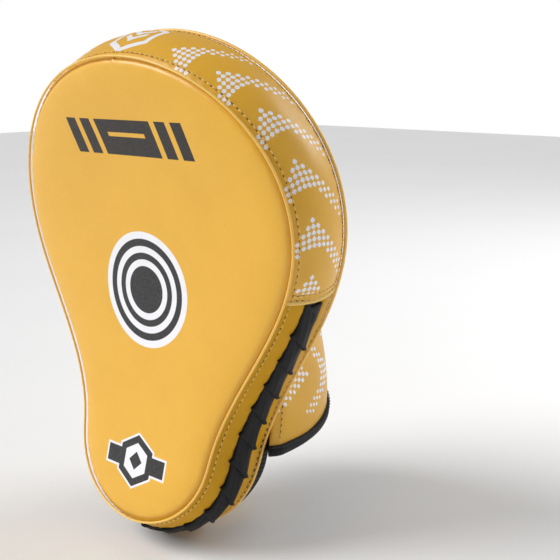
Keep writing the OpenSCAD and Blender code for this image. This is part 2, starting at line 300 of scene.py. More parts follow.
OPERATIONS = {
    "__add__": "ADD", "__radd__": "ADD", "__sub__": "SUBTRACT", "__mul__": "MULTIPLY", "__rmul__": "MULTIPLY",
    "__truediv__": "DIVIDE", "__mod__": "FLOORED_MODULO", "__lt__": "LESS_THAN", "__gt__": "GREATER_THAN",
    "abs": "ABSOLUTE", "min": "MINIMUM", "max": "MAXIMUM", "sqrt": "SQRT", "floor": "FLOOR",
    "either": "MAXIMUM", "both": "MULTIPLY",
}
for method, operation in OPERATIONS.items():
    setattr(E, method, lambda self, *others, kind=operation: self.op(kind, *others))


def length2(a, b):
    return (a * a + b * b).sqrt()


def new_material(name, rough=0.45, spec=0.5, coat=0.0, coat_rough=0.3, sheen=0.0):
    mat = bpy.data.materials.new(name)
    mat.use_nodes = True
    tree = mat.node_tree
    bsdf = tree.nodes["Principled BSDF"]
    bsdf.inputs["Roughness"].default_value = rough
    bsdf.inputs["Specular IOR Level"].default_value = spec
    bsdf.inputs["Coat Weight"].default_value = coat
    bsdf.inputs["Coat Roughness"].default_value = coat_rough
    bsdf.inputs["Sheen Weight"].default_value = sheen
    bsdf.inputs["Sheen Roughness"].default_value = 0.5
    return mat, tree, bsdf


def fab_coords(tree):
    a = tree.nodes.new("ShaderNodeAttribute")
    a.attribute_name = "fab"
    sep = tree.nodes.new("ShaderNodeSeparateXYZ")
    tree.links.new(a.outputs["Vector"], sep.inputs[0])
    return [E(tree, sep.outputs[i]) for i in range(3)]


def object_noise(tree, scale, detail=3.0, rough=0.55, kind="noise"):
    co = tree.nodes.new("ShaderNodeTexCoord")
    n = tree.nodes.new("ShaderNodeTexNoise" if kind == "noise" else "ShaderNodeTexVoronoi")
    n.inputs["Scale"].default_value = scale
    if kind == "noise":
        n.inputs["Detail"].default_value = detail
        n.inputs["Roughness"].default_value = rough
    tree.links.new(co.outputs["Object"], n.inputs["Vector"])
    return E(tree, n.outputs[0])


def mix_colour(tree, fac, a, b):
    n = tree.nodes.new("ShaderNodeMix")
    n.data_type = "RGBA"
    for sock, val in ((n.inputs[0], fac), (n.inputs[6], a), (n.inputs[7], b)):
        if isinstance(val, E):
            tree.links.new(val.out, sock)
        elif isinstance(val, bpy.types.NodeSocket):
            tree.links.new(val, sock)
        elif isinstance(val, (int, float)):
            sock.default_value = val
        else:
            sock.default_value = (*val, 1.0)
    return n.outputs[2]


def add_bump(tree, bsdf, height, strength, distance):
    b = tree.nodes.new("ShaderNodeBump")
    b.inputs["Strength"].default_value = strength
    b.inputs["Distance"].default_value = distance
    tree.links.new(height.out, b.inputs["Height"])
    tree.links.new(b.outputs["Normal"], bsdf.inputs["Normal"])


YELLOW = (0.80, 0.44, 0.045)
DEEP = (0.66, 0.33, 0.022)
WHITE = (0.86, 0.86, 0.90)
CHARCOAL = (0.012, 0.011, 0.012)


def leather(name, colour=YELLOW, deep=DEEP, prints=None, rough=0.4, coat=0.12, grain=0.16, spec=0.45):
    """Smooth artificial leather: fine pebbled grain, slow colour drift and printed marks."""
    mat, tree, bsdf = new_material(name, rough, spec, coat, 0.28)
    drift = object_noise(tree, 38, 3, 0.6)
    fine = object_noise(tree, 420, 4, 0.65)
    base = mix_colour(tree, ((drift - 0.36) * 0.55 + (fine - 0.5) * 0.22).max(0.0).min(1.0), colour, deep)
    rough_e = (fine - 0.5) * 0.22 + (drift - 0.5) * 0.12 + rough
    if prints is not None:
        u, v, w = fab_coords(tree)
        for fac, col in prints(tree, u, v, w):
            worn = (object_noise(tree, 900, 2, 0.6) * -0.12 + 1.05).min(1.0)
            base = mix_colour(tree, fac * worn, base, col)
    tree.links.new(base, bsdf.inputs["Base Color"])
    tree.links.new(rough_e.out, bsdf.inputs["Roughness"])
    pebble = object_noise(tree, 1150, kind="voronoi")
    add_bump(tree, bsdf, pebble * 0.5 + fine * 0.7 + drift * 0.5, grain, 0.0006)
    return mat


def fabric(name, colour, rib=0.0, weave=1500.0, rough=0.85, sheen=0.3, along=0, depth=0.0005):
    """Woven or ribbed cloth. rib is the rib pitch in mm along one fab axis; the ribs get painted light on
    their crests and painted shade in their grooves.
    """
    mat, tree, bsdf = new_material(name, rough, 0.18, 0.0, 0.3, sheen * 0.4)
    n = object_noise(tree, weave, 3, 0.6)
    big = object_noise(tree, 60, 3, 0.6)
    light = tuple(min(1.0, c * 1.6 + 0.004) for c in colour)
    fac = (n - 0.35) * 0.9 + (big - 0.5) * 0.3
    height = n * 0.6
    if rib:
        c = fab_coords(tree)[along]
        wave = ((c / rib) % 1.0 - 0.5).abs() * 2.0
        # colour follows the rib height: painted light on the crests, painted shade in the grooves
        fac = fac + (wave - 0.5) * 0.5
        height = height + wave * 1.6
    base = mix_colour(tree, fac.max(0.0).min(1.0), colour, light)
    tree.links.new(base, bsdf.inputs["Base Color"])
    add_bump(tree, bsdf, height, 0.7, depth)
    return mat


def thread(name, colour):
    mat, tree, bsdf = new_material(name, 0.62, 0.3, 0.0, 0.3, 0.15)
    n = object_noise(tree, 2600, 2, 0.6)
    base = mix_colour(tree, n, tuple(c * 0.75 for c in colour), colour)
    tree.links.new(base, bsdf.inputs["Base Color"])
    add_bump(tree, bsdf, n, 0.5, 0.0002)
    return mat


def dots(t, q, pitch=3.0, slope=1.15, thick=9.0, apex=7.0, r0=1.32, reach=7.5):
    """A printed chevron of dots: t counts away from its tip, q is the distance from its middle line."""
    p = t - q * slope
    row = (q / pitch + 0.5).floor()
    col = (p / pitch).floor()
    dq = q - row * pitch
    dp = p - (col + 0.5) * pitch
    dt = dp + dq * slope
    dist = length2(dt, dq)
    size = (q * -0.022 + r0).max(0.72)
    # the tip is filled in deeper than the arms, and whole dots are kept or left out
    deeper = (row * (pitch * -1.5) + apex).max(0.0)
    band = (col > -0.5).both(((col + 0.5) * pitch - deeper) < thick).both(row < reach)
    return ((size - dist) / 0.2 + 0.5).max(0.0).min(1.0).both(band)


def emblem(a, b, k=1.0):
    """A plain hexagon ring round two bent bars."""
    a, b = a / k, b / k
    h = a.abs().max(a.abs() * 0.5 + b.abs() * 0.866)
    ring = (h - 13.2).abs().below(1.7)
    bend_ = b + a.abs() * 0.75
    bar1 = (bend_ - 5.6).abs().below(1.9).both(a.abs().below(7.6))
    bar2 = (bend_ + 1.4).abs().below(1.9).both(a.abs().below(7.6))
    return ring.either(bar1).either(bar2)


# the marks on the face, by height above mid length, and the chevrons' spacing
TARGET_V, TARGET_R, BARS_V, BADGE_V = 1.8, 31.3, 82.5, -92.0
GUSSET_PITCH, CUFF_PITCH, CUFF_MARK = 28.1, 28.5, 27.0


def face_prints(tree, u, v, w):
    r = length2(u, v - TARGET_V) / TARGET_R
    disc = r.below(1.0, 0.008)
    black = (r - 0.8135).abs().below(0.0625, 0.008).either((r - 0.5795).abs().below(0.0575, 0.008))
    black = black.either(r.below(0.407, 0.008))
    y = v - BARS_V
    p = u + y * 0.3
    step = ((p + 46.0) % 11.5 - 5.75).abs().below(3.9, 0.15)
    long_bar = p.abs().below(14.0, 0.15)
    slit = (y - 1.5).abs().below(1.1, 0.15)
    bars = step.either(long_bar).both(p.abs().below(45.0, 0.15)).both(y.abs().below(9.3, 0.15))
    bars = bars.both((slit.both(long_bar) * -1.0) + 1.0)
    b = v - BADGE_V
    h = u.abs().max(u.abs() * 0.5 + b.abs() * 0.866)
    bar_w = u.abs().below(23.5, 0.15).both(b.abs().below(5.9, 0.15))
    bar_b = u.abs().below(22.3, 0.15).both(b.abs().below(4.7, 0.15))
    hex_w = h.below(13.4, 0.15)
    hex_b = h.below(12.2, 0.15)
    core = h.below(8.4, 0.15)
    gem = (u.abs() + b.abs()).below(5.0, 0.15)
    return [(disc, WHITE), (disc.both(black), CHARCOAL), (bars, CHARCOAL), (bar_w.either(hex_w), WHITE),
            (bar_b.either(hex_b), CHARCOAL), (core, WHITE), (gem, CHARCOAL)]


def gusset_prints(tree, s, d, w):
    q = (d - 12.5).abs()
    t = s.abs() - 31.0
    index = ((t - q * 1.15) / GUSSET_PITCH).floor()
    step = t - index * GUSSET_PITCH
    inside = s.abs().below(S_END - 5.0, 0.2).both(index > -0.5)
    return [(dots(step, q).both(inside), WHITE), (emblem(s, (d - 20.5) * -1.0, 0.95), WHITE)]


def cuff_prints(tree, s, b, w):
    t = s.abs() - 18.0
    middle = t.min(28.0) * 0.25 - (t - 28.0).max(0.0) * 0.3 + CUFF_MARK
    q = (w - middle).abs()
    index = ((t - q * 1.35) / CUFF_PITCH).floor()
    step = t - index * CUFF_PITCH
    inside = (index > -0.5).both(w < 51.0).both(w > 7.0)
    return [(dots(step, q, slope=1.35, pitch=3.2, thick=9.6, r0=1.35, reach=6.5).both(inside), WHITE),
            (emblem(s, (w - CUFF_MARK) * -1.0, 1.05), WHITE)]


def label_prints(tree, u, v, w):
    """Ruled lines of uneven length in place of print."""
    line = ((v % 2.6) - 1.3).abs().below(0.35, 0.15)
    end = ((v / 2.6).floor() * 3.7 % 4.0) + 8.0
    rows = line.both(u > 3.0).both((u - end) < 0.0)
    return [(rows.both((v - 15.0).abs().below(11.0)), (0.25, 0.25, 0.27))]


M_FACE = leather("face_leather", prints=face_prints, rough=0.38, coat=0.15, grain=0.12)
M_GUSSET = leather("gusset_leather", (0.76, 0.41, 0.032), (0.64, 0.32, 0.018), prints=gusset_prints,
                   rough=0.4, coat=0.08, grain=0.16)
# a darker, duller copy of the yellow leather: painted shade on the side strips
M_SIDE_SHADED = leather("side_leather", (0.60, 0.305, 0.004), (0.50, 0.245, 0.003), rough=0.5, coat=0.0,
                 grain=0.2, spec=0.18)
M_BACK = leather("back_leather", rough=0.42, grain=0.18)
M_SLEEVE = leather("sleeve_leather", rough=0.4, grain=0.2)
M_CUFF = leather("cuff_leather", (0.74, 0.40, 0.03), (0.64, 0.32, 0.018), prints=cuff_prints,
                 rough=0.4, coat=0.05, grain=0.16)
# a lighter copy of the yellow leather: painted highlight along the welt ridges
M_WELT_HIGHLIT = leather("welt_leather", (0.9, 0.56, 0.12), (0.72, 0.4, 0.06), rough=0.35, grain=0.1)
M_LACE = leather("lace_leather", (0.008, 0.008, 0.010), (0.014, 0.013, 0.016), rough=0.6, coat=0.0,
                 grain=0.3, spec=0.22)
M_BLACK = fabric("lining_cloth", (0.012, 0.012, 0.016), weave=1400)
M_NAVY = fabric("navy_cloth", (0.010, 0.011, 0.035), weave=1400)
# the ribbed cloths carry painted light and shade along their ribs
M_MESH = fabric("rib_mesh", (0.010, 0.010, 0.012), rib=2.2, along=1, depth=0.0009)
M_ELASTIC = fabric("rib_elastic", (0.009, 0.009, 0.011), rib=1.3, along=1, depth=0.0006)
M_BIND = fabric("grosgrain", (0.010, 0.011, 0.014), rib=0.9, along=0, rough=0.6, sheen=0.2, depth=0.0003)
M_CORE = fabric("core_cloth", (0.78, 0.78, 0.76), weave=1200, rough=0.9, sheen=0.1)
M_THREAD = thread("yellow_thread", (0.9, 0.6, 0.16))
# dark brown for the needle-hole marks: painted shade in the holes
M_HOLE_SHADE = thread("needle_hole_painted_shade", (0.16, 0.075, 0.008))
M_DARK_THREAD = thread("black_thread", (0.02, 0.02, 0.024))
M_LABEL = leather("label_satin", (0.8, 0.8, 0.79), (0.7, 0.7, 0.7), prints=label_prints, rough=0.5,
                  coat=0.0, grain=0.08)
M_FOAM = fabric("foam", (0.7, 0.69, 0.64), weave=700, rough=0.95, sheen=0.0)
for foam in ("strike_foam", "core_foam", "back_foam"):
    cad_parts[foam].data.materials.clear()
    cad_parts[foam].data.materials.append(M_FOAM)


def own(ob, nodes=(), body="mitt"):
    """Hides the CAD nodes a finished piece stands in for and attaches it to its body."""
    if nodes:
        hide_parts(*nodes)
    if body:
        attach(ob, body)
    return ob


# ---- the pad ----
def outline_rows(n_top, n_mid, n_low):
    return np.concatenate([
        WZ + (HL - WZ) * np.cos(np.radians(np.linspace(2.0, 90, n_top))),
        np.linspace(WZ, -HS, n_mid)[1:-1],
        -HS - (HL - HS) * np.sin(np.radians(np.linspace(0, 87.5, n_low))),
    ])


def panel_grid(inset, depth_of):
    """A grid over the pear outline and each point's distance from its edge."""
    v = outline_rows(46, 60, 34)
    c = np.sin(np.linspace(-np.pi / 2, np.pi / 2, 65))
    scale = 1 - inset / HL
    vv = np.repeat((v * scale)[:, None], len(c), 1)
    uu = (half(v) - inset)[:, None].clip(0.5) * c[None]
    edge = np.stack([half(rim_v), rim_v], -1)
    p = np.stack([np.abs(uu).ravel(), vv.ravel()], -1)
    dist = np.empty(len(p))
    for i in range(0, len(p), 2000):
        dist[i:i + 2000] = np.sqrt(((p[i:i + 2000, None] - edge[None]) ** 2).sum(-1)).min(1)
    dist = dist.reshape(uu.shape)
    return bend(uu, vv, depth_of(uu, vv, dist)), uu, vv, dist


def face_depth(u, v, dist):
    crown = CROWN * (1 - np.exp(-dist / 7.5))
    roll = 2.6 * np.exp(-(dist / 1.2) ** 1.6)
    s = np.arctan2(v, u) * 60
    pucker = 0.10 * np.sin(s * 2 * np.pi / 7.0 + 2 * np.sin(s / 23.0)) * np.exp(-((dist - 3.0) / 3.0) ** 2)
    soft = 0.35 * waves(np.stack([u, v, u * 0], -1), 95, 3)
    return 0.7 + roll - crown + pucker + soft * smooth(dist, 4, 30)


outer, uu, vv, dist = panel_grid(0.0, face_depth)
inner, _, _, _ = panel_grid(0.6, lambda u, v, dd: face_depth(u, v, dd) + 1.2)
face = slab("face_cover", outer, inner, np.stack([uu, vv, dist], -1), M_FACE)
own(face, ["front_panel"])

s_all = np.linspace(-S_TOTAL, S_TOTAL, 900, endpoint=False)
out_dir = rim_at(s_all, 4.0, 20.0) - rim_at(s_all, 0.0, 20.0)
# both welts wear the lighter leather, a painted highlight on their ridges
face_ridge = ring_tube("face_ridge", rim_at(s_all, 1.0, 0.5), out_dir, 0.62, 0.7, M_WELT_HIGHLIT)
own(face_ridge, ["front_welt"])
back_ridge = ring_tube("back_ridge", rim_at(s_all, 0.7, T - 0.3), out_dir, 0.8, 0.9, M_WELT_HIGHLIT)
own(back_ridge, ["back_welt"])


def cloth_fab(a, b):
    return np.stack([a, b, a * 0], -1)


def side_band(name, s, d, mat, wrinkle=0.35, seed=5, thick=1.4):
    """A leather band round the rim over arc lengths s and depths d, tucked in at both seams."""
    s2, d2 = np.meshgrid(s, d, indexing="ij")
    pts = rim_at(s2, 0, d2)
    w = waves(pts, 34, seed) * wrinkle * np.sin(np.pi * (d2 - d[0]) / (d[-1] - d[0]))
    near_edge = np.minimum(d2 - d[0], d[-1] - d2)
    tuck = 0.8 * np.exp(-near_edge ** 1.3)
    pucker = 0.13 * np.sin(s2 * 2 * np.pi / 7.3 + np.sin(s2 / 19.0)) * np.exp(-(near_edge / 5.0) ** 2)
    o = bulge(d2) + w - tuck + pucker
    return slab(name, rim_at(s2, o, d2), rim_at(s2, o - thick, d2), cloth_fab(s2, d2), mat)


gusset = side_band("gusset_cover", np.linspace(-S_END, S_END, 420), np.linspace(1.6, T - 1.2, 40), M_GUSSET)
own(gusset, ["printed_gusset"])
# the strips below the gusset wear the darker leather, painted shade of the sides
s_low = np.linspace(S_END + 0.4, 2 * S_TOTAL - S_END - 0.4, 380)
front_d = np.linspace(1.6, LACE_D - LACE_W / 2 + 1.2, 22)
front_strip = side_band("front_strip", s_low, front_d, M_SIDE_SHADED, wrinkle=0.25, seed=8)
own(front_strip, ["front_side_strip"])
rear_d = np.linspace(LACE_D + LACE_W / 2 - 1.2, T - 1.2, 14)
rear_strip = side_band("rear_strip", s_low, rear_d, M_SIDE_SHADED, wrinkle=0.2, seed=9)
own(rear_strip, ["rear_side_strip"])

# the whip lace: one flat wrap after another, each end lapped over the next with its corners pulled out
LACE_PITCH, LACE_SKEW = 16.1, 11.5
lace_parts = []
lace_half = LACE_W / 2
ss, dd = np.meshgrid(np.linspace(S_END + 3.5, 2 * S_TOTAL - S_END - 3.5, 330),
                     np.linspace(LACE_D - lace_half + 0.6, LACE_D + lace_half - 0.6, 9), indexing="ij")
g0 = np.abs(dd - LACE_D) / lace_half
under_lace = rim_at(ss, bulge(dd) + 0.5 - 0.9 * g0 ** 5, dd)
lace_parts.append(slab_parts(under_lace, rim_at(ss, bulge(dd) - 1.2, dd)))


def lace_wrap(first, mirror):
    """One wrap from arc length first on; the mirrored ones run up the other side."""
    j = rng.normal(size=4)
    f, g = np.meshgrid(np.linspace(0, 1, 21), np.linspace(-1, 1, 17), indexing="ij")
    lap = 4.5
    along = first - 0.5 + (LACE_PITCH + lap) * f + LACE_SKEW * 0.5 * (g + 1) + 0.5 * j[0] * g
    waist = 1 - 0.07 * np.sin(np.pi * f) - 0.05 * np.exp(-(f / 0.12) ** 2)
    width = lace_half * waist
    corner = np.exp(-((f - 0.93) / 0.045) ** 2)
    spike = (2.6 + 0.5 * j[1]) * corner * smooth(-g, 0.72, 1.0) + 1.5 * corner * smooth(g, 0.75, 1.0)
    d = LACE_D + g * width + np.sign(g) * spike
    lift = 0.75 + 1.25 * smooth(f, 0.2, 0.95) - 0.75 * np.abs(g) ** 6
    lift = lift - 0.5 * smooth(f, 0.96, 1.0)
    folds = 0.30 * np.sin(g * 4.2 + f * 3.0 + j[2]) + 0.16 * np.sin(g * 9.0 - f * 5 + j[3])
    knot = 0.9 * corner * smooth(np.abs(g), 0.75, 0.95)
    o = bulge(np.clip(d, 0, T)) + lift + folds * 0.6 + knot
    if mirror:
        along = 2 * S_TOTAL - along
    top = rim_at(along, o, d)
    low = rim_at(along, o - 1.1 - 0.7 * smooth(f, 0.3, 0.9), LACE_D + (d - LACE_D) * 0.95)
    return slab_parts(top, low)


LACE_FIRST = S_END + 0.7
run = S_TOTAL - LACE_FIRST - LACE_SKEW
n_wrap = int(run / LACE_PITCH) + 1
for mirror in (False, True):
    for i in range(n_wrap):
        lace_parts.append(lace_wrap(LACE_FIRST + i * LACE_PITCH, mirror))
lace = join_parts("whip_lace", lace_parts, M_LACE)
own(lace, ["side_lace"])


def back_depth(u, v, dist):
    place = np.exp(-((u - 84) / 9.0) ** 2 - ((v - 24) / 10.0) ** 2)
    crease = 0.45 * np.sin((v + 0.4 * u) * 2 * np.pi / 8.0) * place
    return T - 0.2 - 0.9 * np.exp(-(dist / 1.4) ** 1.4) - np.abs(crease) * smooth(dist, 1, 6)


outer, uu, vv, dist = panel_grid(0.3, back_depth)
inner, _, _, _ = panel_grid(0.9, lambda u, v, dd: back_depth(u, v, dd) - 1.2)
back_cover = slab("back_cover", outer, inner, np.stack([uu, vv, dist], -1), M_BACK)
own(back_cover, ["back_panel"])

# stitch rows on the pad
rows = []
for lo, hi in ((-S_END, S_END), (S_END, 2 * S_TOTAL - S_END)):
    s = np.linspace(lo + 1, hi - 1, 500)
    away = rim_at(s, 3.0, 4.0) - rim_at(s, 0.0, 4.0)
    rows += stitch_parts(rim_at(s, bulge(4.4) + 0.02, 4.4), away)
    rows += stitch_parts(rim_at(s, bulge(T - 3.2) + 0.02, T - 3.2), away)
for s0 in (S_END - 1.6, -S_END + 1.6, S_END - 4.2, -S_END + 4.2):
    d = np.linspace(4, T - 3, 40)
    away = rim_at(s0, 3.0, d) - rim_at(s0, 0.0, d)
    rows += stitch_parts(rim_at(s0, bulge(d) + 0.05, d), away, pitch=3.2, length=2.3)
for s0 in (S_END, -S_END):
    d = np.linspace(2.5, T - 2, 40)
    away = rim_at(s0, 3.0, d) - rim_at(s0, 0.0, d)
    rows.append(tube_parts(rim_at(s0, bulge(d) + 0.1, d), away, 0.5, 1.1))
sewn("pad_stitches", rows)

# ---- the back: sleeves, hand panel, cuff ----
FLANGE_H = 0.9  # height of a sewn flange above the back


def section(w, h, p, n, flange_l, flange_r, a0=0.0):
    """An arched cross-section with sewn flanges, as (x, height) evenly spaced."""
    a = np.radians(np.linspace(180 - a0, a0, 160))
    x = w * np.sign(np.cos(a)) * np.abs(np.cos(a)) ** p
    y = h * np.abs(np.sin(a)) ** p
    pts = [np.stack([x, y], -1)]
    if flange_l:
        pts.insert(0, np.stack([np.linspace(x[0] - flange_l, x[0] - 0.6, 8), np.full(8, FLANGE_H)], -1))
    if flange_r:
        pts.append(np.stack([np.linspace(x[-1] + 0.6, x[-1] + flange_r, 8), np.full(8, FLANGE_H)], -1))
    pts = np.concatenate(pts)
    pts[:, 1] = np.maximum(pts[:, 1], FLANGE_H)
    s = np.concatenate([[0], np.cumsum(np.linalg.norm(np.diff(pts, axis=0), axis=1))])
    t = np.linspace(0, s[-1], n)
    return np.stack([np.interp(t, s, pts[:, 0]), np.interp(t, s, pts[:, 1]), t - s[-1] / 2], -1)


def normals_of(grid):
    """Normals of a grid of points, turned to the hand side."""
    n = np.cross(np.gradient(grid, axis=0), np.gradient(grid, axis=1))
    n /= np.linalg.norm(n, axis=-1)[..., None] + 1e-12
    return -n if n[..., 1].mean() < 0 else n


def arch_grid(z0, z1, rows_n, cols, centre, w, h, flanges, p=ARCH_P, drop=(0, 0), shape=None, a0=0.0):
    """Points of an arch from row z0 down to z1, with its (arc, row) coordinates."""
    f = np.linspace(0, 1, rows_n)
    pts, fab = [], []
    for t in f:
        sec = section(w[0] + (w[1] - w[0]) * t, h[0] + (h[1] - h[0]) * t, p, cols, flanges[0], flanges[1], a0)
        x = centre[0] + (centre[1] - centre[0]) * t + sec[:, 0]
        rel = np.clip(sec[:, 0] / (w[0] + (w[1] - w[0]) * t), -1, 1)
        z = z0 + (z1 - z0) * t - (drop[0] + (drop[1] - drop[0]) * t) * rel ** 2
        hh = sec[:, 1] if shape is None else shape(x, z, sec[:, 1])
        pts.append(on_back(x, z, hh))
        fab.append(np.stack([sec[:, 2], z0 - z, x * 0 + (z0 - z1) * t], -1))
    return np.array(pts), np.array(fab)


def edge_steps(rows_n, cols):
    """Each grid point's number of steps from the nearest edge."""
    rows_in = np.minimum(np.arange(rows_n), np.arange(rows_n)[::-1])
    cols_in = np.minimum(np.arange(cols), np.arange(cols)[::-1])
    return np.minimum(rows_in[:, None], cols_in[None]), cols_in


def shell(name, pts, fab, wrinkle, size, seed, thick=1.2):
    """A leather shell over a grid, with a pale core and a dark lining under it."""
    n = normals_of(pts)
    edge, cols_in = edge_steps(*pts.shape[:2])
    fade = np.minimum(1, cols_in / 8.0)[None, :, None]
    top = pts + n * (waves(pts, size, seed) * wrinkle)[..., None] * fade
    soft = (edge == 0)[..., None] * 0.45
    core, lining = thick + 0.35, thick + 0.95
    layers = [slab(name, top - n * soft, top - n * thick, fab, M_SLEEVE),
              slab(name + "_core", top - n * thick, top - n * core, fab, M_CORE),
              slab(name + "_lining", top - n * core, top - n * lining, fab, M_BLACK)]
    return layers, top, n


def own_layers(layers, node):
    own(layers[0], [node])
    for ob in layers[1:]:
        own(ob)


def grid_line(top, n, row=None, col=None, lift=0.1):
    """A line on a grid of points, along a row or a column given by fractional index."""
    if col is not None:
        top, n, row = top.swapaxes(0, 1), n.swapaxes(0, 1), col
    k = int(np.floor(row))
    part = row - k
    p = top[k] * (1 - part) + top[min(k + 1, len(top) - 1)] * part
    return p + n[k] * lift, n[k]


def cut(ob, cutters):
    """Boolean holes, applied."""
    for c in cutters:
        mod = ob.modifiers.new("hole", "BOOLEAN")
        mod.operation, mod.object, mod.solver = "DIFFERENCE", c, "EXACT"
        bpy.context.view_layer.update()
        dg = bpy.context.evaluated_depsgraph_get()
        me = bpy.data.meshes.new_from_object(ob.evaluated_get(dg))
        ob.modifiers.clear()
        old = ob.data
        ob.data = me
        bpy.data.meshes.remove(old)
    for c in cutters:
        bpy.data.objects.remove(c)


def prism(name, x, z, y0, y1):
    """A closed cutter along Y over the outline x, z."""
    k = len(x)
    v = np.concatenate([np.stack([x, np.full(k, float(y)), z], -1) for y in (y0, y1)])
    sides = [[i, (i + 1) % k, k + (i + 1) % k, k + i] for i in range(k)]
    return make(name, v, sides + [list(range(k))[::-1], list(range(k, 2 * k))])


VENT_R = 2.0


def drill(x, z):
    a = np.arange(24) * 2 * np.pi / 24
    return prism("drill", x + VENT_R * np.cos(a), z + VENT_R * np.sin(a), 5, 60)


def raw_edges(top, n, sizes):
    """The pale core and the dark cloth showing along both long edges of a shell."""
    pale, dark, depth = sizes
    for col in (0, -1):
        raw_white.append(tube_parts(top[:, col] + n[:, col] * 0.25, n[:, col], *pale, k=6))
        raw_navy.append(tube_parts(top[:, col] - n[:, col] * depth, n[:, col], *dark, k=6))


def vent_ring(top, n, x, z):
    """A thin turned rim round a vent hole."""
    near = np.argmin((top[:, :, 0] - x) ** 2 + (top[:, :, 2] - z) ** 2)
    a, b = np.unravel_index(near, top.shape[:2])
    turn = np.linspace(0, 2 * np.pi, 28, endpoint=False)
    t1 = np.cross(n[a, b], [1.0, 0, 0])
    t1 /= np.linalg.norm(t1)
    t2 = np.cross(n[a, b], t1)
    mid = top[a, b] + np.array([x - top[a, b, 0], 0, z - top[a, b, 2]])
    around = np.cos(turn)[:, None] * t1 + np.sin(turn)[:, None] * t2
    ring = mid + (VENT_R + 0.15) * around + n[a, b] * 0.05
    return tube_parts(ring, n[a, b], 0.28, 0.3, k=6, closed=True)


back_rows, raw_white, raw_navy = [], [], []
SLEEVES = [
    # name, centre top/bottom, half width top/bottom, top row, flanges, vents, peak
    ("index_sleeve", (36, 31), (14, 13), 104, (0, 5), [66, 80, 95], 8.0),
    ("middle_sleeve", (1, 1), (17, 16), 117, (0, 0), [70, 88, 106], 12.0),
    ("ring_little_sleeve", (-40, -34), (20, 18), 100, (6, 0), [], 8.0),
]
FINGERS = [(31.0, 13.6), (1.0, 16.6), (-34.0, 18.6)]
Z_HAND = 55.0
for name, cx, w, z1, fl, vents, peak in SLEEVES:
    def shape(x, z, h, z1=z1):
        return h * (1 + 0.05 * smooth(z, z1 - 14, z1)) * (1 - 0.05 * np.sin((z - 58) / 8.0))

    def middle(z, cx=cx, z1=z1):
        return cx[1] + (cx[0] - cx[1]) * (z - 56) / (z1 - 56)

    pts, fab = arch_grid(z1 + 2.5, Z_HAND + 0.4, 46, 61, cx, w, (26, 25), fl, p=0.8, drop=(peak, 0),
                         shape=shape)
    layers, top, n = shell(name + "_cover", pts, fab, wrinkle=0.55, size=26, seed=len(name))
    if vents:
        for ob in layers:
            cut(ob, [drill(middle(z), z) for z in vents])
    own_layers(layers, name)
    back_rows += [vent_ring(top, n, middle(z), z) for z in vents]
    raw_edges(top, n, ((0.32, 0.42), (0.3, 0.5), 0.35))
    gx, gz = np.meshgrid(np.linspace(-w[1] + 1, w[1] - 1, 12), np.linspace(z1 - 4, 52, 24), indexing="ij")
    lean = middle(gz)
    soft = 0.25 * waves(cloth_fab(gx + lean, gz), 18, 9)
    above, below = on_back(gx + lean, gz, 1.1 + soft), on_back(gx + lean, gz, 0.15)
    own(slab(name + "_floor_cloth", above, below, cloth_fab(gx, gz), M_BLACK))
    for frac in (0.12, 0.17, 0.83, 0.88):
        back_rows += stitch_parts(*grid_line(top, n, col=frac * (top.shape[1] - 1)), r=0.3, **FINE)
    p, m = grid_line(top, n, row=1.6)
    back_rows += stitch_parts(p[5:-5], m[5:-5], r=0.3, **FINE)

THUMB_X, THUMB_W, THUMB_Z = (65, 60.2), (12, 6.2), (66, 1.0)  # each at the tip and at the mouth
pts, fab = arch_grid(*THUMB_Z, 44, 45, THUMB_X, THUMB_W, (24.5, 22), (0, 5), p=0.8, drop=(4, 2))
layers, top, n = shell("thumb_cover", pts, fab, wrinkle=0.6, size=24, seed=4)
own_layers(layers, "thumb_sleeve")
for frac in (0.1, 0.84, 0.9):
    back_rows += stitch_parts(*grid_line(top, n, col=frac * (top.shape[1] - 1)), r=0.3, **FINE)
p, m = grid_line(top, n, row=1.6)
back_rows += stitch_parts(p[4:-4], m[4:-4], r=0.3, **FINE)


def knuckles(x, z, h):
    """The panel follows the fingers at its top edge and opens to one arch lower down."""
    ridge = np.zeros_like(h)
    for c0, w0 in FINGERS:
        r = np.clip(np.abs((x - c0) / (w0 + 1.2)), 0, 1)
        ridge = np.maximum(ridge, 27.3 * (1 - r ** 2.5) ** 0.4)
    ridge = np.maximum(ridge, np.minimum(h, 13.0))
    ridge = np.convolve(np.pad(ridge, 2, mode="edge"), np.ones(5) / 5, mode="valid")
    f = smooth(z, 22, 56) * (h > 1.2)
    return h * (1 - f) + np.minimum(ridge, h + 8) * f


H_TOP, H_CUFF, HW = 25.0, 60.0, 52.0
pts, fab = arch_grid(Z_HAND + 1.5, -11.0, 60, 121, (-3, 0), (HW - 2, HW), (H_TOP + 1.5, H_CUFF), (6, 3),
                     drop=(0, 9), shape=knuckles)
layers, top, n = shell("hand_cover", pts, fab, wrinkle=0.6, size=42, seed=12, thick=1.4)

SLOT_R, SLOT_TOP, SLOT_LOW = 2.6, 36.5, 0.5


def slot_cutter():
    a = np.concatenate([np.linspace(0, np.pi, 13), np.linspace(np.pi, 2 * np.pi, 13)])
    zc = np.where(np.arange(26) < 13, SLOT_TOP, SLOT_LOW)
    return prism("slot_cutter", SLOT_R * np.cos(a), zc + SLOT_R * np.sin(a), 14, 75)


for ob in layers:
    cut(ob, [slot_cutter()])
own_layers(layers, "hand_panel")


